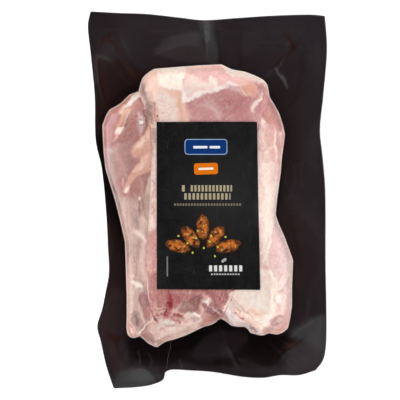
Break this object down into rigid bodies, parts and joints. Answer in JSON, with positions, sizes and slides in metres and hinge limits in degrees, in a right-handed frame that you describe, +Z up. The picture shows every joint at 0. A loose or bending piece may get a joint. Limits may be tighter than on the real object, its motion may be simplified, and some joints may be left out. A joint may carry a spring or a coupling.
{
  "type": "vacuum pack of raw chicken drumsticks",
  "caption": "Flat vacuum pouch of raw chicken drumsticks: black back film, clear window film shrunk over the meat, dark stuck-on label.",
  "frame": {"origin": "below the middle of the pack's outline, on the surface it lies on", "axes": "+Z up out of the window side, +Y along the pouch towards its wider seal, +X across it"},
  "size_m": [0.153, 0.2418, 0.0389],
  "materials": {
    "black_film": "glossy opaque black vacuum film with a faint brown cast, softly creased",
    "raw_chicken": "raw chicken: cream to pale pink skin, rose muscle, cream fat, moist",
    "clear_film": "clear glossy vacuum film, tight on the contents and sealed to the black film round them",
    "label_print": null
  },
  "bodies": {
    "root": {"back_film": "black_film", "filled_pouch": "raw_chicken", "label": "label_print"}
  },
  "joints": []
}
